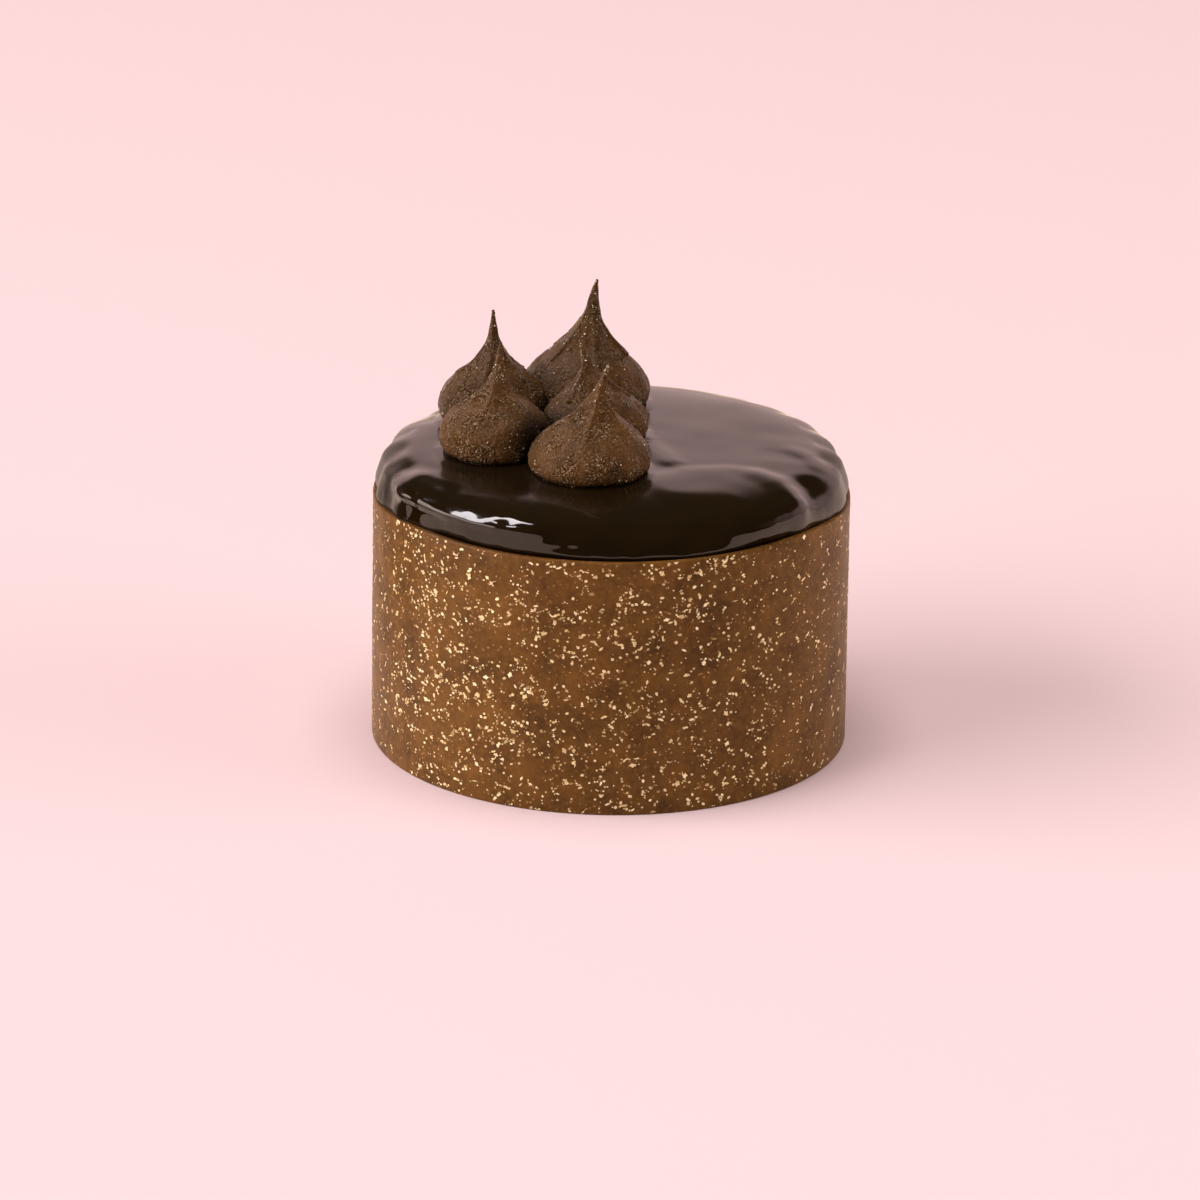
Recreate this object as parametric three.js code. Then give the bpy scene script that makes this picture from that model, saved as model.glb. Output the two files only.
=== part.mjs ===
// A small round chocolate cake: a thin chocolate collar stands round the cake,
// whose glazed top bulges above it, and five piped drops sit together on the glaze.
// Millimetres, +Z up, origin at the centre of the flat base. The front faces -Y, with
// the drops on its left and the bare part of the glaze on its right, towards +X.
import * as THREE from 'three';
import { mergeVertices } from 'three/addons/utils/BufferGeometryUtils.js';

// Collar, set by a standard pastry ring of 80 mm by 45 mm.
const ringDiameter = 80;
const collarHeight = 45.5;
const collarWall = 1.2;
const collarEdge = 0.2; // bevel of its four edges
const collarSegments = 96;

// The rim is a little uneven: it dips at its left and right.
const rimDips = [
  { angle: 0, spread: 24, depth: 1.5 },
  { angle: 180, spread: 24, depth: 1.6 },
];

// Pieces that touch keep this much room.
const restGap = 0.3;

// Cake: straight inside the collar, then a full dome with a nearly flat top.
const cakeRadius = ringDiameter / 2 - restGap;
const domeStart = collarHeight - 0.6; // where the side begins to turn in
const crownRise = 8.1; // height of the dome's middle above domeStart
const domeFullness = 4; // exponent of the dome's section: 2 is round, more is squarer
const liftCurve = 2; // exponent of a swell's lift: nothing in the middle, all at the edge
const domeRings = 15;
const cakeSegments = 96;

// Broad swells of the glazed shoulder. Angles run from +X towards +Y, in degrees;
// spread is the half width of the swell, fuller adds to the exponent and lift to the height.
const shoulderSwells = [
  { angle: -50, spread: 24, fuller: 1.4, lift: 0.5 },
  { angle: -22, spread: 7, fuller: -1.5, lift: -0.9 },
  { angle: -5, spread: 10, fuller: 0.6, lift: -0.6 },
  { angle: 38, spread: 26, fuller: 1.2, lift: 0.4 },
  { angle: 130, spread: 24, fuller: 0.6, lift: 0.5 },
  { angle: 158, spread: 9, fuller: 0.9, lift: 0.8 },
  { angle: 180, spread: 8, fuller: 1.1, lift: 0.9 },
  { angle: 203, spread: 10, fuller: 0.8, lift: 0.7 },
  { angle: 235, spread: 12, fuller: -0.6, lift: -0.2 },
];

// Piped drops. lean is how far the drawn-up tip stands to the right of the drop's middle,
// and turn is where the first crease runs, in degrees.
const drops = [
  { name: 'drop_back_left', at: [-20.7, 13], radius: 9.7, height: 18.8, lean: -0.2, turn: 10 },
  { name: 'drop_front_left', at: [-20.1, -5], radius: 9.8, height: 18.5, lean: 0.8, turn: 75 },
  { name: 'drop_back', at: [-5, 21], radius: 11.5, height: 22, lean: 2, turn: 40 },
  { name: 'drop_middle', at: [-2.9, 3.5], radius: 9.3, height: 16.8, lean: -2.5, turn: 120 },
  { name: 'drop_front_right', at: [-3.9, -15], radius: 10.6, height: 18.6, lean: 3.5, turn: 160 },
];

// Outline of a drop from its foot to its tip, as shares of its radius and its height.
const dropOutline = [
  [0.88, 0], [0.99, 0.07], [0.985, 0.17], [0.87, 0.28], [0.66, 0.4],
  [0.42, 0.51], [0.24, 0.62], [0.125, 0.73], [0.06, 0.86], [0.02, 1],
];
const dropRings = 17;
const dropSegments = 26;
const footRings = 3; // rings across the underside
const footSink = 0.25; // share of the height over which the side follows the glaze
const leanCurve = 2.2; // exponent of the lean: the foot stays put, the tip moves
const creaseCount = 5; // soft creases drawn up towards the tip
const creaseDepth = 0.07; // share of the local radius
const creaseTwist = 40; // degrees from foot to tip

const radians = THREE.MathUtils.degToRad;

function finish(color, roughness) {
  return new THREE.MeshStandardMaterial({ color, roughness, metalness: 0 });
}

function named(name, geometry, material) {
  const mesh = new THREE.Mesh(geometry, material);
  mesh.name = name;
  return mesh;
}

// A lathe about +Z whose seam and poles are welded, so that its points can be moved.
function turned(profile, segments) {
  const lathe = new THREE.LatheGeometry(profile, segments);
  lathe.rotateX(Math.PI / 2);
  lathe.deleteAttribute('normal');
  lathe.deleteAttribute('uv');
  return mergeVertices(lathe, 1e-3);
}

function movePoints(geometry, move) {
  const points = geometry.getAttribute('position');
  const point = new THREE.Vector3();
  for (let i = 0; i < points.count; i += 1) {
    move(point.fromBufferAttribute(points, i));
    points.setXYZ(i, point.x, point.y, point.z);
  }
  geometry.computeVertexNormals();
  return geometry;
}

// How much of a swell or dip is felt at an angle: 1 at its middle, fading smoothly.
function shareAt({ angle: middle, spread }, angle) {
  const away = angle - radians(middle);
  const turn = Math.atan2(Math.sin(away), Math.cos(away));
  return Math.exp(-((turn / radians(spread)) ** 2));
}

function shoulderAt(angle) {
  let fullness = domeFullness;
  let lift = 0;
  for (const swell of shoulderSwells) {
    const share = shareAt(swell, angle);
    fullness += swell.fuller * share;
    lift += swell.lift * share;
  }
  return { fullness, lift };
}

// Height of the dome over domeStart before its section rounds off.
function crownAt(radiusShare, lift) {
  return crownRise + lift * radiusShare ** liftCurve;
}

// Height of the glazed top at a place on the plan.
function glazeHeight(x, y) {
  const { fullness, lift } = shoulderAt(Math.atan2(y, x));
  const share = Math.min(Math.hypot(x, y) / cakeRadius, 1);
  return domeStart + crownAt(share, lift) * (1 - share ** fullness) ** (1 / fullness);
}

function makeCollar() {
  const inner = ringDiameter / 2;
  const outer = inner + collarWall;
  const profile = [
    [inner + collarEdge, 0], [outer - collarEdge, 0], [outer, collarEdge],
    [outer, collarHeight - collarEdge], [outer - collarEdge, collarHeight],
    [inner + collarEdge, collarHeight], [inner, collarHeight - collarEdge], [inner, collarEdge],
    [inner + collarEdge, 0],
  ].map(([r, z]) => new THREE.Vector2(r, z));
  return movePoints(turned(profile, collarSegments), (point) => {
    const angle = Math.atan2(point.y, point.x);
    const dip = rimDips.reduce((sum, part) => sum + part.depth * shareAt(part, angle), 0);
    point.z -= dip * (point.z / collarHeight);
  });
}

// The dome starts as part of an ellipse, and each point is then moved out to the fuller
// section that its direction calls for.
function makeCake() {
  const profile = [new THREE.Vector2(0, 0), new THREE.Vector2(cakeRadius, 0)];
  for (let ring = 0; ring <= domeRings; ring += 1) {
    const rise = (ring / domeRings) * (Math.PI / 2);
    profile.push(new THREE.Vector2(cakeRadius * Math.cos(rise), domeStart + crownRise * Math.sin(rise)));
  }
  profile[profile.length - 1].x = 0;
  return movePoints(turned(profile, cakeSegments), (point) => {
    if (point.z <= domeStart) return;
    const angle = Math.atan2(point.y, point.x);
    const { fullness, lift } = shoulderAt(angle);
    const across = Math.hypot(point.x, point.y) / cakeRadius;
    const up = (point.z - domeStart) / crownRise;
    const share = across ** (2 / fullness);
    point.x = cakeRadius * share * Math.cos(angle);
    point.y = cakeRadius * share * Math.sin(angle);
    point.z = domeStart + crownAt(share, lift) * up ** (2 / fullness);
  });
}

// Keeps a point on its own drop's side of the flat contact with a neighbour, by drawing
// it straight back towards the drop's middle.
function pressBack(point, drop, neighbour) {
  const towards = new THREE.Vector2(neighbour.at[0] - drop.at[0], neighbour.at[1] - drop.at[1]);
  const apart = towards.length();
  towards.normalize();
  const contact = (apart ** 2 + drop.radius ** 2 - neighbour.radius ** 2) / (2 * apart);
  const reach = (point.x - drop.at[0]) * towards.x + (point.y - drop.at[1]) * towards.y;
  const room = contact - restGap / 2;
  if (reach <= room) return;
  const keep = room / reach;
  point.x = drop.at[0] + (point.x - drop.at[0]) * keep;
  point.y = drop.at[1] + (point.y - drop.at[1]) * keep;
}

function dropProfile(drop) {
  const outline = new THREE.SplineCurve(dropOutline.map(([r, z]) => new THREE.Vector2(r, z)));
  const profile = [];
  for (let ring = 0; ring < footRings; ring += 1) {
    profile.push(new THREE.Vector2((dropOutline[0][0] * ring) / footRings, 0));
  }
  profile.push(...outline.getPoints(dropRings));
  profile.push(new THREE.Vector2(0, 1));
  return profile.map((share) => new THREE.Vector2(share.x * drop.radius, share.y * drop.height));
}

function makeDrop(drop) {
  const seat = glazeHeight(...drop.at) + restGap;
  return movePoints(turned(dropProfile(drop), dropSegments), (point) => {
    const up = Math.max(point.z, 0) / drop.height;
    const angle = Math.atan2(point.y, point.x);
    const crease = Math.cos(creaseCount * (angle - radians(drop.turn + creaseTwist * up)));
    const radius = Math.hypot(point.x, point.y) * (1 - creaseDepth * up * (1 - crease));
    point.x = drop.at[0] + radius * Math.cos(angle);
    point.y = drop.at[1] + radius * Math.sin(angle);
    for (const neighbour of drops) {
      if (neighbour !== drop) pressBack(point, drop, neighbour);
    }
    const follow = Math.max(0, 1 - up / footSink);
    point.z += seat + follow * (glazeHeight(point.x, point.y) + restGap - seat);
    point.x += drop.lean * up ** leanCurve;
  });
}

const collarFinish = finish('#6f4a2b', 0.45);
const glazeFinish = finish('#20140d', 0.08);
const dropFinish = finish('#5a4030', 0.75);

const cake = new THREE.Group();
cake.add(named('collar', makeCollar(), collarFinish));
cake.add(named('cake', makeCake(), glazeFinish));
for (const drop of drops) {
  cake.add(named(drop.name, makeDrop(drop), dropFinish));
}

export default cake;
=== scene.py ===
# A small glazed chocolate cake in a gold-flecked chocolate collar, with five piped drops on top.
# Metres; the front faces -Y and the drops stand on the left of the glaze.
import math
import random

import bmesh
import bpy
from mathutils import Matrix, Vector, noise


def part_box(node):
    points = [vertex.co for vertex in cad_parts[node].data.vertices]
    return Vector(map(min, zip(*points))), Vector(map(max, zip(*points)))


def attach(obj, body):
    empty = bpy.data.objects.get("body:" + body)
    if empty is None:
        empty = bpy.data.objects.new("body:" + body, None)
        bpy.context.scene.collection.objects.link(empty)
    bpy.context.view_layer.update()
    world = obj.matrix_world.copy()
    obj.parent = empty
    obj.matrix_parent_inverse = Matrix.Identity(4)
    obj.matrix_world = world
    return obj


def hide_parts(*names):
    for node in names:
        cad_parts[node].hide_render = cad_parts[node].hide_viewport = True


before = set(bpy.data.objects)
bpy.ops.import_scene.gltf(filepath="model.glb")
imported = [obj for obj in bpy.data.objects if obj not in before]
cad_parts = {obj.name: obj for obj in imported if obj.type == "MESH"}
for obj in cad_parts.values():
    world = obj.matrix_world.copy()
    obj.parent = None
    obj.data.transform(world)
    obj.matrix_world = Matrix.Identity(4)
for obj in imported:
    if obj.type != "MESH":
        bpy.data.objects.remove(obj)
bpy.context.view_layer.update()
mm = 0.001

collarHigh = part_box("collar")[1]  # highest corners
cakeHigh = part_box("cake")[1]


# Small helpers for modelling as by hand

def clearSelection():
    if bpy.context.object and bpy.context.object.mode == "EDIT":
        bpy.ops.object.mode_set(mode="OBJECT")
    bpy.ops.object.select_all(action="DESELECT")


def makeActive(piece):
    clearSelection()
    piece.select_set(True)
    bpy.context.view_layer.objects.active = piece


def editAll(piece):
    makeActive(piece)
    bpy.ops.object.mode_set(mode="EDIT")
    bpy.ops.mesh.select_mode(type="VERT")
    bpy.ops.mesh.select_all(action="SELECT")


def startCircle(name, radius, height, count, place=(0, 0)):
    clearSelection()
    bpy.ops.mesh.primitive_circle_add(vertices=count, radius=radius, location=(place[0], place[1], height))
    piece = bpy.context.object
    piece.name = name
    piece.data.name = name
    bpy.ops.object.transform_apply(location=True, rotation=False, scale=False)
    editAll(piece)
    return piece


def raiseRings(section, place=(0, 0)):
    # one ring of the section after another, as on a potter's wheel
    for (radius, height), (nextRadius, nextHeight) in zip(section, section[1:]):
        bpy.ops.mesh.extrude_region_move(TRANSFORM_OT_translate={"value": (0, 0, nextHeight - height)})
        ratio = nextRadius / radius
        bpy.ops.transform.resize(value=(ratio, ratio, 1), center_override=(place[0], place[1], nextHeight))


def selectVerts(piece, test):
    if bpy.context.object.mode != "EDIT":
        editAll(piece)
    bpy.ops.mesh.select_all(action="DESELECT")
    mesh = bmesh.from_edit_mesh(piece.data)
    for vert in mesh.verts:
        vert.select = test(vert.co)
    mesh.select_flush(True)
    bmesh.update_edit_mesh(piece.data)
    return sum(vert.select for vert in mesh.verts)


def pushVerts(move, reach, falloff="SMOOTH"):
    bpy.ops.transform.translate(
        value=move, use_proportional_edit=True, proportional_edit_falloff=falloff, proportional_size=reach
    )


def scaleVerts(ratio, center, reach):
    bpy.ops.transform.resize(
        value=(ratio, ratio, 1), center_override=center, use_proportional_edit=True,
        proportional_edit_falloff="SMOOTH", proportional_size=reach,
    )


def mergeRing(piece, test):
    selectVerts(piece, test)
    bpy.ops.mesh.merge(type="CENTER")


def faceOut(piece):
    editAll(piece)
    bpy.ops.mesh.remove_doubles(threshold=0.001 * mm)
    bpy.ops.mesh.normals_make_consistent(inside=False)
    bpy.ops.object.mode_set(mode="OBJECT")


def applyModifier(piece, kind, **settings):
    makeActive(piece)
    modifier = piece.modifiers.new(kind.title(), kind)
    for key, value in settings.items():
        setattr(modifier, key, value)
    bpy.ops.object.modifier_apply(modifier=modifier.name)


def subdivide(piece, levels):
    applyModifier(piece, "SUBSURF", levels=levels, render_levels=levels)


def roughen(piece, kind, grain, strength, group="", **look):
    texture = bpy.data.textures.new(piece.name + kind.title(), kind)
    texture.noise_scale = grain
    for key, value in look.items():
        setattr(texture, key, value)
    applyModifier(
        piece, "DISPLACE", texture=texture, texture_coords="LOCAL", strength=strength, vertex_group=group
    )


def weightVerts(piece, name, weigh):
    makeActive(piece)
    group = piece.vertex_groups.new(name=name)
    for vert in piece.data.vertices:
        group.add([vert.index], weigh(vert.co), "REPLACE")


# one colour per corner: the gold's own tones, or a drop's painted shade
def paintTone(piece, tones):
    layer = piece.data.color_attributes.new("tone", "FLOAT_COLOR", "POINT")
    for index, tone in enumerate(tones):
        layer.data[index].color = (*tone, 1)


def finishPiece(piece, material, slot, *nodes):
    makeActive(piece)
    bpy.ops.object.shade_smooth()
    piece.vertex_groups.clear()
    piece.data.materials.clear()
    piece.data.materials.append(material)
    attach(piece, "root")
    if nodes:
        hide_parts(*nodes)


def fade(value, start, end):
    share = min(max((value - start) / (end - start), 0), 1)
    return share * share * (3 - 2 * share)


# Materials

def newMaterial(name):
    material = bpy.data.materials.new(name)
    material.use_nodes = True
    tree = material.node_tree
    return material, tree, tree.nodes["Principled BSDF"]


def addNode(tree, kind, inputs=(), **settings):
    node = tree.nodes.new("ShaderNode" + kind)
    for key, value in settings.items():
        setattr(node, key, value)
    for key, value in dict(inputs).items():
        if isinstance(value, bpy.types.NodeSocket):
            tree.links.new(value, node.inputs[key])
        else:
            node.inputs[key].default_value = value
    return node


noiseRange = (0.3, 0.7)  # between which a noise mostly keeps


def mapRange(tree, value, low, high, newLow, newHigh, **settings):
    inputs = {"Value": value, 1: low, 2: high, 3: newLow, 4: newHigh}
    return addNode(tree, "MapRange", inputs, **settings).outputs[0]


def calculate(tree, operation, *values, **settings):
    return addNode(tree, "Math", enumerate(values), operation=operation, **settings).outputs[0]


def mixColors(tree, share, first, second, **settings):
    inputs = {0: share, 6: first, 7: second}
    return addNode(tree, "Mix", inputs, data_type="RGBA", **settings).outputs[2]


def makeMottleGroup():
    # two-tone colour in patches with finer specks, and a height that goes with it
    group = bpy.data.node_groups.new("mottle", "ShaderNodeTree")
    sockets = group.interface
    sockets.new_socket("Place", in_out="INPUT", socket_type="NodeSocketVector")
    for name in ("Patch Scale", "Speck Scale", "Speck Amount", "Contrast"):
        sockets.new_socket(name, in_out="INPUT", socket_type="NodeSocketFloat")
    for name in ("Dark", "Light"):
        sockets.new_socket(name, in_out="INPUT", socket_type="NodeSocketColor")
    sockets.new_socket("Color", in_out="OUTPUT", socket_type="NodeSocketColor")
    sockets.new_socket("Height", in_out="OUTPUT", socket_type="NodeSocketFloat")
    given = group.nodes.new("NodeGroupInput").outputs
    out = group.nodes.new("NodeGroupOutput")
    patches = addNode(group, "TexNoise", {
        "Vector": given["Place"], "Scale": given["Patch Scale"], "Detail": 4, "Roughness": 0.55,
    })
    specks = addNode(group, "TexNoise", {
        "Vector": given["Place"], "Scale": given["Speck Scale"], "Detail": 3, "Roughness": 0.7,
    })
    mixed = addNode(group, "Mix", {
        0: given["Speck Amount"], 2: patches.outputs["Fac"], 3: specks.outputs["Fac"],
    }, data_type="FLOAT").outputs[0]
    centred = calculate(group, "SUBTRACT", mixed, 0.5)
    spread = calculate(group, "MULTIPLY_ADD", centred, given["Contrast"], 0.5, use_clamp=True)
    group.links.new(mixColors(group, spread, given["Dark"], given["Light"]), out.inputs["Color"])
    group.links.new(mixed, out.inputs["Height"])
    return group


mottleGroup = makeMottleGroup()


def addMottle(tree, place, dark, light, patch, speck, amount, contrast):
    node = tree.nodes.new("ShaderNodeGroup")
    node.node_tree = mottleGroup
    tree.links.new(place, node.inputs["Place"])
    node.inputs["Dark"].default_value = (*dark, 1)
    node.inputs["Light"].default_value = (*light, 1)
    node.inputs["Patch Scale"].default_value = patch
    node.inputs["Speck Scale"].default_value = speck
    node.inputs["Speck Amount"].default_value = amount
    node.inputs["Contrast"].default_value = contrast
    return node


def addBump(tree, shader, height, distance):
    bump = addNode(tree, "Bump", {"Height": height, "Distance": distance, "Strength": 1})
    tree.links.new(bump.outputs["Normal"], shader.inputs["Normal"])


collarFinish = {
    "mottle": {"dark": (0.05, 0.0188, 0.003), "light": (0.142, 0.0555, 0.009), "patch": 150, "speck": 900,
               "amount": 0.45, "contrast": 3.4},
    "dust": (0.33, 0.16, 0.06, 1),
    "dots": (1100, 0.3, 0.12),  # scale, and distances from a dot's middle over which it sets in
    "strewn": (420, 0.42, 0.62, 0.8),  # scale, noise over which the dots set in, and their share
    "roughness": (0.5, 0.4),  # of its dark and of its light patches
    "specular": 0.16,
    "relief": 0.12 * mm,
}


def makeCollarMaterial():
    material, tree, shader = newMaterial("collarChocolate")
    place = addNode(tree, "TexCoord").outputs["Object"]
    mottle = addMottle(tree, place, **collarFinish["mottle"]).outputs
    # faint warm dust between the flecks
    scale, rim, core = collarFinish["dots"]
    dots = addNode(tree, "TexVoronoi", {"Vector": place, "Scale": scale, "Randomness": 1})
    dust = mapRange(tree, dots.outputs["Distance"], rim, core, 0, 1)
    scale, none, full, most = collarFinish["strewn"]
    chance = addNode(tree, "TexNoise", {"Vector": place, "Scale": scale, "Detail": 2})
    where = mapRange(tree, chance.outputs["Fac"], none, full, 0, most)
    mask = calculate(tree, "MULTIPLY", dust, where)
    color = mixColors(tree, mask, mottle["Color"], collarFinish["dust"])
    tree.links.new(color, shader.inputs["Base Color"])
    rough = mapRange(tree, mottle["Height"], *noiseRange, *collarFinish["roughness"])
    tree.links.new(rough, shader.inputs["Roughness"])
    shader.inputs["Specular IOR Level"].default_value = collarFinish["specular"]
    addBump(tree, shader, mottle["Height"], collarFinish["relief"])
    return material


goldFinish = {"roughness": 0.42, "metallic": 0.2}


def makeGoldMaterial():
    material, tree, shader = newMaterial("paleGold")
    tone = addNode(tree, "Attribute", attribute_name="tone")
    tree.links.new(tone.outputs["Color"], shader.inputs["Base Color"])
    shader.inputs["Roughness"].default_value = goldFinish["roughness"]
    shader.inputs["Metallic"].default_value = goldFinish["metallic"]
    return material


glazeFinish = {
    "mottle": {"dark": (0.0055, 0.0026, 0.0008), "light": (0.0095, 0.0046, 0.0013), "patch": 120,
               "speck": 900, "amount": 0.2, "contrast": 2},
    "haze": 70,  # scale of the patches in which it is more and less sharp
    "roughness": (0.04, 0.09),
    # what is added to the roughness, and where it starts and is whole
    "settled": {"from": 51 * mm, "to": 52.7 * mm, "rougher": 0.13},  # height, on the flat top
    "satin": {"from": 34.5 * mm, "to": 38 * mm, "rougher": 0.28},  # towards its far left and right
    "ior": 1.5,
}


def makeGlazeMaterial():
    material, tree, shader = newMaterial("mirrorGlaze")
    place = addNode(tree, "TexCoord").outputs["Object"]
    mottle = addMottle(tree, place, **glazeFinish["mottle"]).outputs
    tree.links.new(mottle["Color"], shader.inputs["Base Color"])
    haze = addNode(tree, "TexNoise", {"Vector": place, "Scale": glazeFinish["haze"], "Detail": 3})
    rough = mapRange(tree, haze.outputs["Fac"], *noiseRange, *glazeFinish["roughness"])
    axes = addNode(tree, "SeparateXYZ", {0: place}).outputs
    sideways = calculate(tree, "ABSOLUTE", axes["X"])
    for way, part in ((axes["Z"], glazeFinish["settled"]), (sideways, glazeFinish["satin"])):
        more = mapRange(tree, way, part["from"], part["to"], 0, part["rougher"])
        rough = calculate(tree, "ADD", rough, more)
    tree.links.new(rough, shader.inputs["Roughness"])
    shader.inputs["IOR"].default_value = glazeFinish["ior"]
    return material


cakeFinish = {
    "mottle": {"dark": (0.02, 0.009, 0.004), "light": (0.06, 0.028, 0.013), "patch": 260, "speck": 1400,
               "amount": 0.5, "contrast": 2.5},
    "roughness": 0.9,
    "relief": 0.5 * mm,
}


def makeCakeMaterial():
    material, tree, shader = newMaterial("darkCake")
    place = addNode(tree, "TexCoord").outputs["Object"]
    mottle = addMottle(tree, place, **cakeFinish["mottle"]).outputs
    tree.links.new(mottle["Color"], shader.inputs["Base Color"])
    shader.inputs["Roughness"].default_value = cakeFinish["roughness"]
    addBump(tree, shader, mottle["Height"], cakeFinish["relief"])
    return material


dropFinish = {
    "mottle": {"dark": (0.03, 0.0118, 0.0019), "light": (0.094, 0.037, 0.0074), "patch": 220,
               "speck": 1700, "amount": 0.45, "contrast": 3},
    "grit": (0.27, 0.18, 0.115, 1),
    "gritGrains": (3000, 0.55, 0.65, 0.4),  # scale, noise over which one sets in, share of the relief
    "clumps": (330, 0.46, 0.6, 0.25),  # scale, noise over which one sets in, and the grit elsewhere
    "drawn": (1, 1, 0.4),  # the clumps are drawn up like the drop
    "bends": (500, 0.0006),  # scale and strength of what bends the cracks
    "cracks": (1000, 0.16, 0.7),  # scale, how far from an edge one reaches, and share of the relief
    "roughness": (0.5, 0.26),  # between the clumps of grit and in them
    "specular": 0.14,
    "diffuseRoughness": 0.3,
    "relief": 0.36 * mm,
}


def makeDropMaterial():
    material, tree, shader = newMaterial("pipedChocolate")
    place = addNode(tree, "TexCoord").outputs["Object"]
    mottle = addMottle(tree, place, **dropFinish["mottle"]).outputs
    # fine leathery cracks
    scale, strength = dropFinish["bends"]
    strayed = addNode(tree, "TexNoise", {"Vector": place, "Scale": scale, "Detail": 2})
    bent = addNode(tree, "Mix", {0: strength, 4: place, 5: strayed.outputs["Color"]}, data_type="VECTOR")
    scale, width, crackShare = dropFinish["cracks"]
    cells = {"Vector": bent.outputs[1], "Scale": scale}
    edges = addNode(tree, "TexVoronoi", cells, feature="DISTANCE_TO_EDGE")
    crackle = mapRange(tree, edges.outputs["Distance"], 0, width, 0, 1)
    # pale grit in clumps
    drawn = addNode(tree, "Mapping", {"Vector": place, "Scale": dropFinish["drawn"]}).outputs[0]
    scale, none, full, least = dropFinish["clumps"]
    clumps = addNode(tree, "TexNoise", {"Vector": drawn, "Scale": scale, "Detail": 3})
    clumpMask = mapRange(tree, clumps.outputs["Fac"], none, full, least, 1)
    scale, none, full, gritShare = dropFinish["gritGrains"]
    grit = addNode(tree, "TexNoise", {"Vector": place, "Scale": scale, "Detail": 2, "Roughness": 0.65})
    gritMask = mapRange(tree, grit.outputs["Fac"], none, full, 0, 1)
    mask = calculate(tree, "MULTIPLY", gritMask, clumpMask)
    color = mixColors(tree, mask, mottle["Color"], dropFinish["grit"])
    # the tone attribute carries painted shade: a shadow at the foot, shade between the drops and over whole
    # drops
    tone = addNode(tree, "Attribute", attribute_name="tone")
    shadedColor = mixColors(tree, 1.0, color, tone.outputs["Color"], blend_type="MULTIPLY")
    tree.links.new(shadedColor, shader.inputs["Base Color"])
    rough = mapRange(tree, clumpMask, 0, 1, *dropFinish["roughness"])
    tree.links.new(rough, shader.inputs["Roughness"])
    shader.inputs["Specular IOR Level"].default_value = dropFinish["specular"]
    shader.inputs["Diffuse Roughness"].default_value = dropFinish["diffuseRoughness"]
    cracked = calculate(tree, "MULTIPLY", crackle, clumpMask)
    skin = calculate(tree, "MULTIPLY_ADD", cracked, crackShare, mottle["Height"])
    relief = calculate(tree, "MULTIPLY_ADD", grit.outputs["Fac"], gritShare, skin)
    addBump(tree, shader, relief, dropFinish["relief"])
    return material


# Camera, light and floor

view = {
    "aim": (-1.754 * mm, 0, 23.84 * mm),
    "distance": 1600 * mm,
    "elevation": 20.21,  # degrees
    "roll": 0.77,  # degrees
    "lens": 276.9,  # mm
    "sensor": 36,  # mm
}


def makeCamera():
    rise = math.radians(view["elevation"])
    aim = Vector(view["aim"])
    place = aim + view["distance"] * Vector((0, -math.cos(rise), math.sin(rise)))
    clearSelection()
    bpy.ops.object.camera_add(location=place)
    camera = bpy.context.object
    turn = (aim - place).to_track_quat("-Z", "Y").to_matrix()
    camera.rotation_euler = (turn @ Matrix.Rotation(math.radians(view["roll"]), 3, "Z")).to_euler()
    camera.data.lens = view["lens"]
    camera.data.sensor_width = view["sensor"]
    bpy.context.scene.camera = camera


floorLook = {
    "size": 9,
    "drop": 0.02 * mm,  # below the cake, so that the two don't meet in one plane
    "color": (0.615, 0.446, 0.457, 1),
    "bounce": (0.63, 0.51, 0.46, 1),
    "mirrored": (0.75, 0.565, 0.475, 1),
}


def makeFloor():
    clearSelection()
    bpy.ops.mesh.primitive_plane_add(size=floorLook["size"], location=(0, 0, -floorLook["drop"]))
    floor = bpy.context.object
    floor.name = "floor"
    material, tree, shader = newMaterial("palePaper")
    # the object sees a paler floor than the camera does, as it would beside white paper
    path = addNode(tree, "LightPath").outputs
    lit = mixColors(tree, path["Is Glossy Ray"], floorLook["bounce"], floorLook["mirrored"])
    color = mixColors(tree, path["Is Camera Ray"], lit, floorLook["color"])
    tree.links.new(color, shader.inputs["Base Color"])
    shader.inputs["Roughness"].default_value = 1
    shader.inputs["Specular IOR Level"].default_value = 0
    floor.data.materials.append(material)


# a black card to the left that only reflections see: it darkens that end of the glaze's shoulder
cardLook = {
    "size": (46 * mm, 130 * mm),
    "place": (-94 * mm, 14 * mm),
    "facing": (-34.5 * mm, -19.2 * mm),  # the place on the shoulder that it faces
    "color": (0.01, 0.008, 0.006, 1),
}


def makeCard():
    width, height = cardLook["size"]
    place = Vector((*cardLook["place"], height / 2))
    towards = Vector((*cardLook["facing"], height / 2)) - place
    clearSelection()
    turn = towards.to_track_quat("Z", "Y").to_euler()
    bpy.ops.mesh.primitive_plane_add(size=1, location=place, rotation=turn)
    card = bpy.context.object
    card.name = "blackCard"
    card.scale = (width, height, 1)
    material, _, shader = newMaterial("blackFelt")
    shader.inputs["Base Color"].default_value = cardLook["color"]
    shader.inputs["Roughness"].default_value = 1
    shader.inputs["Specular IOR Level"].default_value = 0
    card.data.materials.append(material)
    card.visible_camera = False
    card.visible_diffuse = False
    card.visible_shadow = False


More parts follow.
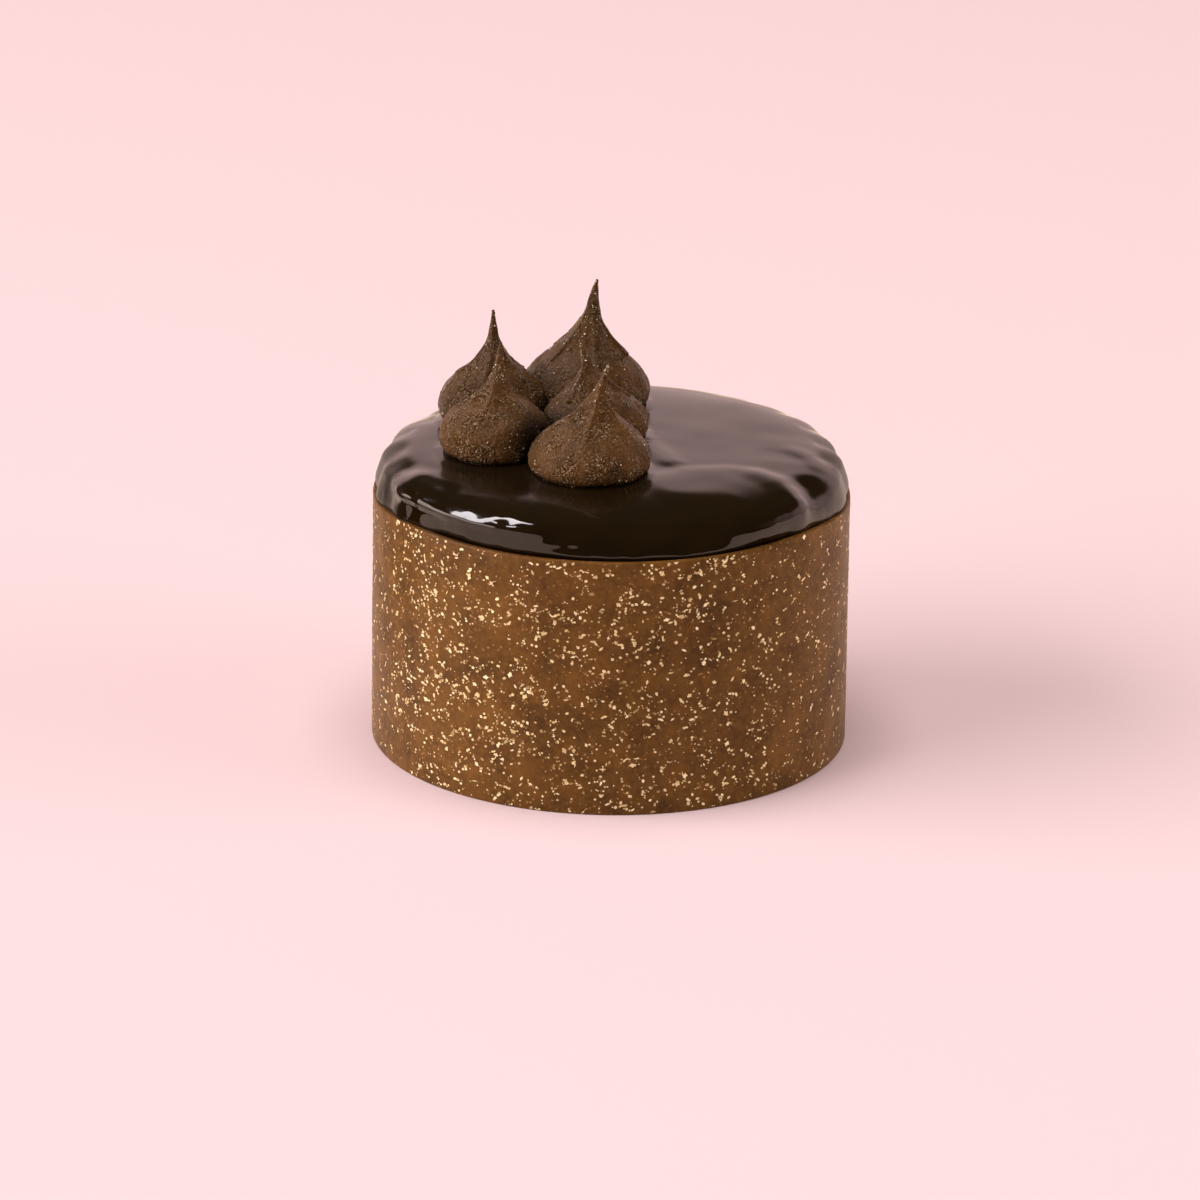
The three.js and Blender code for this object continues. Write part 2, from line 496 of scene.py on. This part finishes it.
# azimuth runs from the front towards the right, in degrees; sizes in metres, power in watts;
# a lamp that is seen shows in reflections and gives no other light
lamps = {
    "keyLight": {"azimuth": -74, "elevation": 24, "distance": 3, "size": (3.2, 2.3), "power": 176},
    "topLight": {"azimuth": 0, "elevation": 88, "distance": 2.0, "size": (1.2, 1.2), "power": 33},
    "fillLight": {"azimuth": 82, "elevation": 14, "distance": 2.2, "size": (1.6, 1.2), "power": 36},
    "sideCard": {"azimuth": -91, "elevation": 15, "distance": 1.5, "size": (2.0, 0.85), "power": 26,
                 "color": (1, 0.84, 0.77), "seen": True},
    "windowLeft": {"azimuth": -112, "elevation": 56.5, "distance": 2, "size": (1.7, 0.4), "power": 32,
                   "color": (1, 0.93, 0.95), "roll": -30, "seen": True},
    "windowRight": {"azimuth": -92, "elevation": 60, "distance": 2, "size": (0.2, 0.22), "power": 2.1,
                    "color": (1, 0.93, 0.95), "roll": -30, "seen": True},
}

lampAim = 40 * mm  # height that the lamps point at

room = {
    "back": (1.15, 0.8, 0.76, 1),
    "front": (0.1, 0.074, 0.05, 1),
    "mirrored": (0.05, 0.037, 0.022, 1),
    "backdrop": (-0.3, 0.45),  # how far back, as shares of Y, it starts and is whole
    "topEdge": (0.38, 0.585),  # heights, as sines, over which the bright backdrop fades out
}


def makeLamp(name, azimuth, elevation, distance, size, power, color=(1, 1, 1), roll=0, seen=False):
    turn, rise = math.radians(azimuth), math.radians(elevation)
    away = Vector((math.sin(turn) * math.cos(rise), -math.cos(turn) * math.cos(rise), math.sin(rise)))
    clearSelection()
    bpy.ops.object.light_add(type="AREA", location=away * distance + Vector((0, 0, lampAim)))
    lamp = bpy.context.object
    lamp.name = name
    lamp.data.shape = "RECTANGLE"
    lamp.data.size, lamp.data.size_y = size
    lamp.data.energy = power
    lamp.data.color = color
    facing = (-away).to_track_quat("-Z", "Y").to_matrix()
    lamp.rotation_euler = (facing @ Matrix.Rotation(math.radians(roll), 3, "Z")).to_euler()
    lamp.visible_glossy = seen
    lamp.visible_diffuse = not seen


def makeRoom():
    world = bpy.data.worlds.new("room")
    bpy.context.scene.world = world
    world.use_nodes = True
    tree = world.node_tree
    place = addNode(tree, "TexCoord").outputs["Generated"]
    axes = addNode(tree, "SeparateXYZ", {0: place}).outputs
    behind = mapRange(tree, axes["Y"], *room["backdrop"], 0, 1, interpolation_type="SMOOTHSTEP")
    below = mapRange(tree, axes["Z"], *room["topEdge"], 1, 0, interpolation_type="SMOOTHSTEP")
    bright = calculate(tree, "MULTIPLY", behind, below)
    # what the glaze mirrors in front is darker than the light that comes from there
    glossy = addNode(tree, "LightPath").outputs["Is Glossy Ray"]
    front = mixColors(tree, glossy, room["front"], room["mirrored"])
    color = mixColors(tree, bright, front, room["back"])
    tree.links.new(color, tree.nodes["Background"].inputs["Color"])


def makeLights():
    for name, settings in lamps.items():
        makeLamp(name, **settings)
    makeRoom()
    bpy.context.scene.view_settings.view_transform = "Standard"


# Collar

collar = {
    "outer": collarHigh[0],
    "wall": 1.2 * mm,
    "top": collarHigh[2],
    "edge": 0.22 * mm,
    "around": 288,
    "rings": 14,
    "rimDips": [(1, 1.5 * mm), (-1, 1.6 * mm)],  # on the right and on the left
    "dipReach": 30 * mm,
    "waves": (14 * mm, 0.25 * mm),  # size and height
    "calmFoot": (5 * mm, 30 * mm),  # heights over which the waves set in
    "calmRim": (43 * mm, 45 * mm, 0.8),  # heights over which they fade, and by how much
}


def makeCollar():
    outer, top = collar["outer"], collar["top"]
    inner = outer - collar["wall"]
    steps = [top * step / collar["rings"] for step in range(collar["rings"] + 1)]
    section = [(outer, height) for height in steps] + [(inner, height) for height in reversed(steps)]
    band = startCircle("collarBand", outer, 0, collar["around"])
    raiseRings(section)
    selectVerts(band, lambda co: co.z < 0.01 * mm)
    bpy.ops.mesh.bridge_edge_loops()
    faceOut(band)
    for side, depth in collar["rimDips"]:
        end = Vector((side * outer, 0))
        selectVerts(band, lambda co: co.z > top - 0.1 * mm and (co.xy - end).length < 2 * mm)
        pushVerts((0, 0, -depth), collar["dipReach"])
    applyModifier(band, "BEVEL", width=collar["edge"], segments=3, limit_method="ANGLE", angle_limit=0.7)
    rimFrom, rimTo, calm = collar["calmRim"]
    weightVerts(band, "upper", lambda co: (
        fade(co.z, *collar["calmFoot"]) * (1 - calm * fade(co.z, rimFrom, rimTo))
    ))
    size, height = collar["waves"]
    roughen(band, "CLOUDS", size, height, group="upper", noise_depth=1)
    finishPiece(band, makeCollarMaterial(), "collar", "collar")


# Cake under the glaze

cakeBody = {
    "radius": cakeHigh[0],
    "top": collarHigh[2] - 4 * mm,
    "around": 128,
    "edge": 0.6 * mm,
    "insets": (0.03, 0.2, 0.25, 0.25),  # of its flat ends, as shares of the radius
}


def makeCakeBody():
    radius, top = cakeBody["radius"], cakeBody["top"]
    section = [(radius, 0), (radius, top / 2), (radius, top)]
    body = startCircle("cakeBody", radius, 0, cakeBody["around"])
    raiseRings(section)
    for height in (0, top):
        selectVerts(body, lambda co: abs(co.z - height) < 0.01 * mm)
        bpy.ops.mesh.edge_face_add()
        for share in cakeBody["insets"]:
            bpy.ops.mesh.inset(thickness=radius * share)
    faceOut(body)
    applyModifier(body, "BEVEL", width=cakeBody["edge"], segments=2, limit_method="ANGLE", angle_limit=0.7)
    finishPiece(body, makeCakeMaterial(), "cake", "cake")


# Glaze

glaze = {
    "radius": 39.95 * mm,
    "foot": 43.6 * mm,
    "side": 46.1 * mm,
    "top": 53.0 * mm,
    "fullness": 3.8,
    "around": 144,
    # rings of the skirt: how far inside the radius, and how far above the foot or the side
    "skirtRings": [
        (0.9 * mm, "foot", 0), (0.75 * mm, "foot", 1.2 * mm),
        (0.5 * mm, "side", -1.0 * mm), (0.12 * mm, "side", -0.5 * mm),
    ],
    "rings": (20, 1.25),  # rings of the shoulder, and how much closer together they lie low down
    "shoulder": 54,  # degrees of the section's quarter turn that they cover
    "middle": (17, 1.7 * mm),  # rings on the flat middle, and their spacing
    "pole": (0.6 * mm, 1 * mm),  # radius of the last ring, and within which radius it is closed
    "ripple": (11 * mm, 0.2 * mm),  # size and height of the waves on the flat top
    "wetting": (0.95, 0.35 * mm, 1.5 * mm),  # share of a drop's radius, rise under it, and its reach
    "smoothing": 0.5,
    # path on the plan, half width of the brush, how far it pushes, and how far that is felt, in mm
    "strokes": [
        ([(-33, 8), (-34, 0), (-33, -9), (-30, -17)], 1.1, (0, 0, 0.65), 7.5),  # full left side
        ([(-22, 27), (-14, 32)], 1.1, (0, 0, 0.4), 9),
        ([(24, 22), (29, 15)], 1.1, (0, 0, 0.35), 10),
        ([(-34, -17.5), (-31.5, -20.5)], 1, (0, 0, 0.6), 5),
        ([(-26, -27), (-14, -30)], 1.6, (0, 0, 0.22), 7),
        ([(-29, -24), (-27, -25.5)], 1, (0, 0, 0.15), 3.5),
        ([(2, -35), (12, -35)], 2, (0, 0, -0.4), 9),
        ([(13, -20.5), (20, -19), (24, -19.5), (25.5, -22)], 5.5, (0, 0, 0.3), 3.6),  # lobe
        ([(34.6, -16.5), (35.2, -19)], 1, (-0.4, 0.2, -0.6), 5),  # dent beside the lobe
        ([(25, -15.2), (27.5, -16.8), (29.6, -19), (30.6, -21.5)], 0.6, (0, 0, 0.24), 4),  # lobe's crest
        ([(27, -4), (31, -4.6)], 0.8, (0, 0, -0.08), 3),
        ([(31, -1), (34.4, -3.4), (35.6, -7)], 0.7, (0, 0, 0.15), 2.6),
        ([(4.8, 1.5), (7.3, -3.5), (9.8, -10)], 0.7, (0, 0, 0.3), 2.8),  # crease by the front drop
    ],
    # down over the shoulder: angle in degrees, push inwards in mm, and how far it is felt in mm
    "grooves": [
        (-162, 0.36, 2.6), (-170, -0.34, 2.4), (-177, 0.4, 2.4), (176, -0.3, 2.4), (168, 0.36, 2.6),
        (158, -0.26, 3), (149, 0.3, 3), (-153, -0.34, 2.6), (-4, 0.35, 2.2), (3, -0.3, 2.2), (9, 0.35, 2),
        (15, -0.22, 2), (21, 0.32, 2), (28, -0.22, 2.2), (35, 0.25, 2.2), (47, 0.25, 2.6),
    ],
    "grooveBand": (36.8, 40, 0.6),  # from radius to radius, and half width, in mm
    "grooveSlide": 0.4,  # share of the push by which a groove also moves down
    # from angle to angle, at a height, how far the side is drawn out, and how far that is felt, in mm
    "bulges": [
        (-56, -12, 48.9, 0.4, 3.2), (-165, -110, 49.2, 0.15, 3.2), (-160, -108, 50.3, 1, 2.2),
        (-104, -62, 49.0, -0.9, 3.2),
        (-106, -72, 46.2, -0.3, 1.8),
    ],
    "bulgeBand": 0.5 * mm,  # half height
    # where the skirt hangs lower over the dipping rim: middle angle and half width in degrees
    "skirts": [(180, 40), (180, 29), (180, 18), (0, 38), (0, 27), (0, 16)],
    "skirtStep": (0.28 * mm, -0.5 * mm, 2.5 * mm),  # outwards, downwards, and how far that is felt
    "skirtTop": 0.3 * mm,  # above the side
    # waves of the side: size and height in mm, the angles between which they run, and over how many
    # degrees they fade
    "waves": [(4.5, 0.55, -172, -112, 12), (3.5, 0.3, -112, -25, 15)],
    "waveTop": (51.6 * mm, 50.2 * mm),  # heights over which the waves set in from above
    "waveFoot": (44.5 * mm, 46 * mm),  # and from below
    "plateau": (49 * mm, 52 * mm),  # heights over which the ripple of the flat top sets in
}


def domePoint(share):
    # share runs from the side to where the flat middle begins
    turn = share * math.radians(glaze["shoulder"])
    power = 2 / glaze["fullness"]
    rise = glaze["top"] - glaze["side"]
    return (glaze["radius"] * math.cos(turn) ** power, glaze["side"] + rise * math.sin(turn) ** power)


def domeHeight(radius):
    power = glaze["fullness"]
    rise = glaze["top"] - glaze["side"]
    return glaze["side"] + rise * (1 - (radius / glaze["radius"]) ** power) ** (1 / power)


def turnOf(co):
    return math.degrees(math.atan2(co.y, co.x))


def nearPath(co, path, width):
    for start, end in zip(path, path[1:]):
        start, end = Vector(start) * mm, Vector(end) * mm
        along = end - start
        share = min(max((co.xy - start).dot(along) / along.length_squared, 0), 1)
        if (co.xy - start - along * share).length < width:
            return True
    return False


def makeGlaze():
    radius, side = glaze["radius"], glaze["side"]
    rings, closer = glaze["rings"]
    count, spacing = glaze["middle"]
    last, closed = glaze["pole"]
    section = [(radius - inset, glaze[level] + rise) for inset, level, rise in glaze["skirtRings"]]
    section += [domePoint((ring / rings) ** closer) for ring in range(rings)]
    section += [(ring * spacing, domeHeight(ring * spacing)) for ring in range(count, 0, -1)]
    section += [(last, glaze["top"])]
    skin = startCircle("glaze", section[0][0], section[0][1], glaze["around"])
    raiseRings(section)
    subdivide(skin, 1)
    for path, width, move, reach in glaze["strokes"]:
        selectVerts(skin, lambda co: co.z > side and nearPath(co, path, width * mm))
        pushVerts(Vector(move) * mm, reach * mm)
    inner, outer, width = glaze["grooveBand"]
    for turn, depth, reach in glaze["grooves"]:
        angle = math.radians(turn)
        out = Vector((math.cos(angle), math.sin(angle)))
        path = [out * inner, out * outer]
        selectVerts(skin, lambda co: co.z > side and nearPath(co, path, width * mm))
        slide = -glaze["grooveSlide"] * depth * mm
        pushVerts((-out.x * depth * mm, -out.y * depth * mm, slide), reach * mm)
    for start, end, height, out, reach in glaze["bulges"]:
        selectVerts(skin, lambda co: (
            abs(co.z - height * mm) < glaze["bulgeBand"] and start < turnOf(co) < end
        ))
        scaleVerts(1 + out * mm / radius, (0, 0, height * mm), reach * mm)
    outwards, downwards, reach = glaze["skirtStep"]
    for centre, spread in glaze["skirts"]:
        axis = Vector((math.cos(math.radians(centre)), 0))
        selectVerts(skin, lambda co: (
            co.z < side + glaze["skirtTop"] and co.xy.angle(axis) < math.radians(spread)
        ))
        scaleVerts(1 + outwards / radius, (0, 0, side), reach)
        pushVerts((0, 0, downwards), reach)
    applyModifier(skin, "SMOOTH", factor=glaze["smoothing"], iterations=5)
    subdivide(skin, 1)
    for index, (size, height, start, end, reach) in enumerate(glaze["waves"]):
        group = f"waves{index}"
        weightVerts(skin, group, lambda co: (
            fade(co.z, *glaze["waveTop"]) * fade(co.z, *glaze["waveFoot"])
            * fade(turnOf(co), start - reach / 2, start + reach / 2)
            * fade(turnOf(co), end + reach / 2, end - reach / 2)
        ))
        roughen(skin, "CLOUDS", size * mm, height * mm, group=group, noise_depth=1)
    share, rise, reach = glaze["wetting"]
    for look in drop["each"].values():  # the glaze rises a little against each drop
        centre, rim = Vector(look["at"]) * mm, share * look["radius"] * mm
        selectVerts(skin, lambda co: co.z > side and (co.xy - centre).length < rim)
        pushVerts((0, 0, rise), reach)
    applyModifier(skin, "SMOOTH", factor=glaze["smoothing"], iterations=4)
    weightVerts(skin, "plateau", lambda co: fade(co.z, *glaze["plateau"]))
    size, height = glaze["ripple"]
    roughen(skin, "CLOUDS", size, height, group="plateau", noise_depth=1)
    mergeRing(skin, lambda co: co.z > side and co.xy.length < closed)
    mergeRing(skin, lambda co: co.z < glaze["foot"] + 0.05 * mm)
    faceOut(skin)
    finishPiece(skin, makeGlazeMaterial(), "glaze", "cake")


# Piped drops

drop = {
    "around": 48,
    "outline": [  # shares of the radius and the height, from the foot up
        (0.78, 0.0), (0.92, 0.035), (0.985, 0.085), (1.0, 0.15), (0.965, 0.22), (0.87, 0.29),
        (0.74, 0.355), (0.6, 0.42), (0.46, 0.485), (0.34, 0.55), (0.24, 0.62), (0.168, 0.69),
        (0.122, 0.76), (0.086, 0.84), (0.056, 0.92), (0.025, 0.985),
    ],
    "sink": 0.5 * mm,  # of the foot into the glaze
    "rise": 0.5 * mm,  # of the tip before it is closed
    "belly": (0.36, 0.4 * mm, 4.5 * mm),  # height as a share, half width of the ring, and reach
    "creaseCount": 5,
    "crease": (0.5, 0.97, 1.2 * mm),  # share of the height where it starts, cosine of half its width, reach
    "ridge": (0.42, 0.9985, 0.5 * mm),  # a fine line beside each crease, with the same three settings
    "ridgeTurn": 0.5,  # radians from the crease
    "ridgeScale": 1.1,
    "tip": (0.5 * mm, 0.35 * mm),  # what leans over whole, and what is closed to a point
    "contact": (0.05 * mm, 0.02),  # how far short of a neighbour it stops, and how flat the rest is pressed
    "lumps": [(3.6 * mm, 0.45 * mm, 1), (1.1 * mm, 0.16 * mm, 2)],  # size, height, depth of the noise
    "wrinkles": (0.6 * mm, 0.4 * mm, 1.5),  # size, height, intensity
    "leather": 4 * mm,  # size of the wrinkled patches
    "leatherEdge": (-0.25, 0.15),  # noise over which a patch sets in
    "leatherTop": (0.62, 0.3),  # shares of the height over which the wrinkles set in from above
    "damp": (0.3, 1.1 * mm, 1.9 * mm),  # painted shadow where the foot meets the glaze: its tone, and the heights over which it fades out
    "between": (0.85, 0.4),  # painted shade beside a neighbour: how dark it gets, and the share of its height where whole
    # "at" and "radius" are in mm; "lean" is how far the tip is drawn to the right, in mm; "swell" and
    # "pinch" scale the belly and the creases; "first" is the angle of a crease in degrees; "gap" in mm
    # and "shade" as a share of the height bound the painted shade beside a neighbour
    # "tone" is a painted shade that darkens the whole drop
    "each": {
        "drop_back_left": {
            "at": (-20.7, 13), "radius": 9.7, "lean": -0.2, "swell": 1.06, "pinch": 0.86,
            "first": 10, "gap": 3, "shade": 0.4, "tone": 0.78,
        },
        "drop_front_left": {
            "at": (-20.1, -5), "radius": 9.8, "lean": 0.8, "swell": 1.13, "pinch": 0.8,
            "first": 75, "gap": 4.6, "shade": 0.7, "tone": 0.98,
        },
        "drop_back": {
            "at": (-5, 21), "radius": 11.5, "lean": 2, "swell": 1, "pinch": 0.9,
            "first": 40, "gap": 0.5, "shade": 0.2, "tone": 0.8,
        },
        "drop_middle": {
            "at": (-2.9, 3.5), "radius": 9.3, "lean": -2.9, "swell": 1.05, "pinch": 0.8,
            "first": 120, "gap": 3, "shade": 0.35, "tone": 0.86,
        },
        "drop_front_right": {
            "at": (-3.9, -15), "radius": 10.6, "lean": 3, "swell": 1.05, "pinch": 0.78,
            "first": 160, "gap": 3, "shade": 0.5, "tone": 1,
        },
    },
}


def pieceName(node):
    first, *others = node.split("_")
    return first + "".join(word.title() for word in others)


def pressFlat(piece, look, others):
    # squashes what reaches past the contact with each neighbour onto that contact
    here, radius = Vector(look["at"]) * mm, look["radius"] * mm
    room, left = drop["contact"]
    for other in others:
        there, otherRadius = Vector(other["at"]) * mm, other["radius"] * mm
        towards = there - here
        apart = towards.length
        if apart > radius + otherRadius:
            continue
        towards.normalize()
        reach = (apart ** 2 + radius ** 2 - otherRadius ** 2) / (2 * apart) - room
        count = selectVerts(piece, lambda co: (co.xy - here).dot(towards) > reach)
        if not count:
            continue
        side = Vector((-towards.y, towards.x, 0))
        axes = Matrix((Vector((towards.x, towards.y, 0)), side, Vector((0, 0, 1))))
        contact = here + towards * reach
        bpy.ops.transform.resize(
            value=(left, 1, 1), orient_matrix=axes, orient_type="GLOBAL", orient_matrix_type="GLOBAL",
            constraint_axis=(True, False, False), center_override=(contact.x, contact.y, 0),
        )


def paintGapShade(piece, look, others, foot, height):
    # painted shade: tone 1 in the open, less in a painted shadow where the foot meets the glaze and in
    # painted shade between neighbours, all times the drop's tone, a painted shade over the whole drop
    contactShade, shadeTo, litFrom = drop["damp"]
    dark, whole = drop["between"]
    top = look["shade"] * height
    shades = []
    for vert in piece.data.vertices:
        shade = contactShade + (1 - contactShade) * fade(vert.co.z, foot + shadeTo, foot + litFrom)
        for other in others:
            away = (vert.co.xy - Vector(other["at"]) * mm).length - other["radius"] * mm
            low = fade(vert.co.z, foot + top, foot + whole * top)
            shade *= 1 - dark * low * fade(away, look["gap"] * mm, 0)
        shades.append((shade * look["tone"],) * 3)
    paintTone(piece, shades)


def makeDrop(node, material):
    look = drop["each"][node]
    low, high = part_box(node)
    radius = look["radius"] * mm
    foot = low[2] - drop["sink"]
    tip = high[2] + drop["rise"]
    height = tip - foot
    place = Vector(look["at"]) * mm
    centre = (place.x, place.y, tip)
    section = [(share * radius, foot + rise * height) for share, rise in drop["outline"]]
    piece = startCircle(pieceName(node), section[0][0], section[0][1], drop["around"], place)
    raiseRings(section, place)
    subdivide(piece, 2)
    belly, width, reach = drop["belly"]
    selectVerts(piece, lambda co: abs(co.z - foot - belly * height) < width)
    scaleVerts(look["swell"], centre, reach)
    for index in range(drop["creaseCount"]):
        angle = math.radians(look["first"] + 360 / drop["creaseCount"] * index)
        along = Vector((math.cos(angle), math.sin(angle)))
        beside = Matrix.Rotation(drop["ridgeTurn"], 2) @ along
        lines = [(along, look["pinch"], drop["crease"]), (beside, drop["ridgeScale"], drop["ridge"])]
        for way, ratio, (share, narrow, reach) in lines:
            selectVerts(piece, lambda co: (
                co.z > foot + share * height and (co.xy - place).normalized().dot(way) > narrow
            ))
            scaleVerts(ratio, centre, reach)
    leaning, closed = drop["tip"]
    selectVerts(piece, lambda co: co.z > tip - leaning)
    pushVerts((look["lean"] * mm, 0, 0), height, "SHARP")
    subdivide(piece, 1)
    others = [other for key, other in drop["each"].items() if key != node]
    pressFlat(piece, look, others)
    mergeRing(piece, lambda co: co.z > tip - closed)
    mergeRing(piece, lambda co: co.z < foot + 0.02 * mm)
    faceOut(piece)
    for size, depth, detail in drop["lumps"]:
        roughen(piece, "CLOUDS", size, depth, noise_depth=detail)
    top, whole = drop["leatherTop"]
    weightVerts(piece, "leathery", lambda co: (
        fade(noise.noise(co / drop["leather"]), *drop["leatherEdge"])
        * fade(co.z, foot + top * height, foot + whole * height)
    ))
    size, depth, intensity = drop["wrinkles"]
    edges = {"weight_1": -1, "weight_2": 1, "noise_intensity": intensity}
    roughen(piece, "VORONOI", size, depth, group="leathery", **edges)
    paintGapShade(piece, look, others, foot, height)
    finishPiece(piece, material, "drop", node)
    return piece


# Gold: flecks on the collar and grains on the drops

flecks = {
    "count": 7300,
    "seed": 5,
    "thick": 0.05 * mm,
    "sink": 0.02 * mm,  # into the collar
    "lowest": 0.3 * mm,
    "patches": (4 * mm, 14 * mm),  # sizes of the fine and the broad patches where they crowd
    "crowd": (0.7, 0.3, 0.25),  # usual share that stays, and what the fine and broad patches add
    # where they are fewer: angle and how far round it in degrees, and how much fewer
    "bare": [(-166, 28, 0.75), (-6, 125, 0.8)],
    "together": ((1, 2, 3, 4), (76, 16, 6, 2)),  # how many stick together, and how often
    "bend": 0.9,  # radians by which a row of them turns at most
    "step": (1.1, 0.15, 0.4),  # from one to the next: share of its size, and what is added in mm
    "sizes": (0.8, 1.5),
    "stretch": (0.75, 1),
    # outlines as radii round the middle, how often each is used, and its usual half width in mm
    "shapes": [
        ([1, 0.95, 1, 1.05, 0.95, 1], 14, 0.19),
        ([1, 0.9, 1.1, 0.95, 1.05], 22, 0.11),
        ([1.3, 1, 0.85, 1.2, 1.1, 0.8, 0.95], 8, 0.23),
        ([1.6, 0.8, 0.6, 0.75, 1.5, 0.8, 0.55, 0.7], 2, 0.24),
        ([2.2, 0.5, 0.36, 0.5, 2.1, 0.5, 0.36, 0.5], 0.7, 0.2),
        ([1.9, 0.55, 1.5, 0.5, 1.7, 0.6, 1.0, 0.5], 1, 0.26),
        ([1.8, 0.9, 0.3, 0.55, 0.5, 1.7, 1.2, 0.55, 1.1], 1, 0.28),
        ([1.2, 1.5, 0.8, 1.3, 1.0, 1.6, 0.75, 1.2, 0.7], 1.2, 0.29),
    ],
    "tones": [(0.7, 0.51, 0.27), (0.83, 0.66, 0.41), (0.54, 0.36, 0.17), (0.32, 0.19, 0.075)],
    "toneShares": (5, 3, 3, 2),
}


def joinShapes(name, points, faces, tones, material):
    mesh = bpy.data.meshes.new(name)
    mesh.from_pydata(points, [], faces)
    piece = bpy.data.objects.new(name, mesh)
    bpy.context.collection.objects.link(piece)
    paintTone(piece, tones)
    finishPiece(piece, material, "gold")
    return piece


def rimHeight(turn):
    height = collar["top"]
    for side, depth in collar["rimDips"]:
        away = (Vector((math.cos(turn), math.sin(turn))) - Vector((side, 0))).length * collar["outer"]
        height -= depth * (1 - fade(away, 0, collar["dipReach"]))
    return height


def makeFlecks(material):
    chance = random.Random(flecks["seed"])
    radius = collar["outer"]
    points, faces, tones = [], [], []
    weights = [shape[1] for shape in flecks["shapes"]]
    fineSize, broadSize = flecks["patches"]
    usual, fineShare, broadShare = flecks["crowd"]
    apart, least, most = flecks["step"]
    made = 0
    while made < flecks["count"]:
        turn = chance.uniform(-math.pi, math.pi)
        height = chance.uniform(flecks["lowest"], rimHeight(turn))
        spot = Vector((math.cos(turn) * radius, math.sin(turn) * radius, height))
        fine = noise.noise(spot / fineSize)
        broad = noise.noise(spot / broadSize + Vector((7, 3, 1)))  # moved away from the fine noise
        crowd = usual + fineShare * fine + broadShare * broad
        for middle, spread, share in flecks["bare"]:
            away = abs((math.degrees(turn) - middle + 180) % 360 - 180)
            crowd *= 1 - share * (1 - fade(away, 0, spread))
        if chance.random() > crowd:
            continue
        group = chance.choices(*flecks["together"])[0]
        heading = chance.uniform(0, 2 * math.pi)
        for _ in range(group):
            outline, _, size = chance.choices(flecks["shapes"], weights)[0]
            size *= mm * chance.uniform(*flecks["sizes"])
            height = min(max(height, size), rimHeight(turn) - 1.2 * size)
            roll = chance.uniform(0, 2 * math.pi)
            stretch = chance.uniform(*flecks["stretch"])
            start = len(points)
            count = len(outline)
            for layer in (-flecks["sink"], flecks["thick"]):
                reach = radius + layer
                for index, share in enumerate(outline):
                    angle = roll + 2 * math.pi * index / count
                    across, up = size * share * math.cos(angle), size * share * stretch * math.sin(angle)
                    around = turn + across / radius
                    points.append((reach * math.cos(around), reach * math.sin(around), height + up))
            faces.append([start + count + index for index in range(count)])
            for index in range(count):
                after = (index + 1) % count
                faces.append([start + index, start + after, start + count + after, start + count + index])
            tone = chance.choices(flecks["tones"], flecks["toneShares"])[0]
            tones += [tone] * (2 * count)
            made += 1
            heading += chance.uniform(-flecks["bend"], flecks["bend"])
            step = size * apart + chance.uniform(least, most) * mm
            turn += step * math.cos(heading) / radius
            height += step * math.sin(heading)
    joinShapes("goldFlecks", points, faces, tones, material).data.shade_flat()


grains = {
    "each": 420,
    "seed": 11,
    "size": (0.06, 0.11),  # mm
    "beads": 0.18,  # share of the bigger ones
    "beadSize": (0.12, 0.18),  # mm
    "lowest": 0.8 * mm,  # above the foot
    "patches": 3 * mm,  # size of the patches where they crowd
    "crowd": 0.3,
    "low": (0.5, 1 * mm, 6 * mm),  # what is added low down, and the heights over which that fades
    "spin": 6.28,  # radians
    "stretch": [(0.8, 1.4), (0.7, 1), (0.5, 0.8)],
    # one grain: its corners, and its sides as numbers of those corners
    "corners": [(1, 0, 0), (0, 1, 0), (-1, 0, 0), (0, -1, 0), (0, 0, 1), (0, 0, -0.6)],
    "sides": [(0, 1, 4), (1, 2, 4), (2, 3, 4), (3, 0, 4), (1, 0, 5), (2, 1, 5), (3, 2, 5), (0, 3, 5)],
    "tones": [(0.36, 0.25, 0.15), (0.26, 0.165, 0.085), (0.3, 0.2, 0.11), (0.9, 0.75, 0.56)],
}


def makeGrains(drops, material):
    chance = random.Random(grains["seed"])
    points, faces, tones = [], [], []
    more, lowFrom, lowTo = grains["low"]
    for piece in drops:
        verts = piece.data.vertices
        foot = min(vert.co.z for vert in verts)
        made = 0
        while made < grains["each"]:
            vert = verts[chance.randrange(len(verts))]
            rise = vert.co.z - foot
            crowd = grains["crowd"] + noise.noise(vert.co / grains["patches"])
            crowd += more * (1 - fade(rise, lowFrom, lowTo))
            if rise < grains["lowest"] or chance.random() > crowd:
                continue
            bead = chance.random() < grains["beads"]
            size = chance.uniform(*grains["beadSize" if bead else "size"]) * mm
            spin = Matrix.Rotation(chance.uniform(0, grains["spin"]), 3, "Z")
            turn = vert.normal.to_track_quat("Z", "Y").to_matrix() @ spin
            stretch = Vector([chance.uniform(*ends) for ends in grains["stretch"]])
            start = len(points)
            for corner in grains["corners"]:
                points.append(vert.co + turn @ (Vector(corner) * stretch) * size)
            faces += [[start + corner for corner in side] for side in grains["sides"]]
            tones += [chance.choice(grains["tones"])] * len(grains["corners"])
            made += 1
    joinShapes("goldGrains", points, faces, tones, material)


print("camera, lights and floor")
makeCamera()
makeFloor()
makeCard()
makeLights()
print("collar and gold flecks")
makeCollar()
goldMaterial = makeGoldMaterial()
makeFlecks(goldMaterial)
print("cake and glaze")
makeCakeBody()
makeGlaze()
print("piped drops")
dropMaterial = makeDropMaterial()
drops = [makeDrop(node, dropMaterial) for node in drop["each"]]
makeGrains(drops, goldMaterial)
